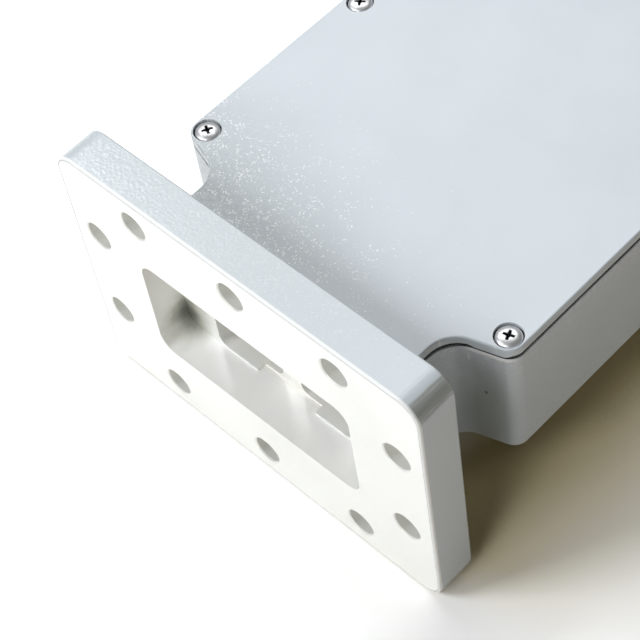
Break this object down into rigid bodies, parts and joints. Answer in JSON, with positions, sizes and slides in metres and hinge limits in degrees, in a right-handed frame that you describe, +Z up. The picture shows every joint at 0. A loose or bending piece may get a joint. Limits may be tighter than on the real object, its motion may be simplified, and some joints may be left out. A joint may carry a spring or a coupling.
{
  "type": "waveguide filter",
  "caption": "Band-pass waveguide filter: a milled cavity body with a flat flange brazed to each end, a gasketed screwed lid and tuning screws underneath.",
  "frame": {"origin": "on the waveguide's centre line, halfway between the two flange faces", "axes": "+X along the waveguide from the input port to the output port, +Y across the broad wall, +Z up through the lid"},
  "size_m": [0.206, 0.0984, 0.0698],
  "materials": {
    "casing_paint": "pale grey textured paint outside, bare conversion-coated metal inside and on the coupling walls",
    "flange_paint": "pale grey textured paint on the sides and back, bare conversion-coated metal on the mating face and in the port",
    "lid_paint": "pale grey paint with a fine orange-peel texture",
    "gasket_rubber": "black, matt",
    "screw_steel": "stainless, bright",
    "tuning_brass": "plain turned brass",
    "nut_steel": "stainless, satin"
  },
  "bodies": {
    "root": {"filter_body": "casing_paint", "input_flange": "flange_paint", "output_flange": "flange_paint", "lid": "lid_paint", "lid_gasket": "gasket_rubber", "lid_screws": "screw_steel", "cavity_tuning_screw_1": "tuning_brass", "cavity_tuning_screw_2": "tuning_brass", "cavity_tuning_screw_3": "tuning_brass", "cavity_tuning_screw_4": "tuning_brass", "coupling_tuning_screw_1": "tuning_brass", "coupling_tuning_screw_2": "tuning_brass", "coupling_tuning_screw_3": "tuning_brass", "cavity_lock_nuts": "nut_steel", "coupling_lock_nuts": "nut_steel"}
  },
  "joints": []
}
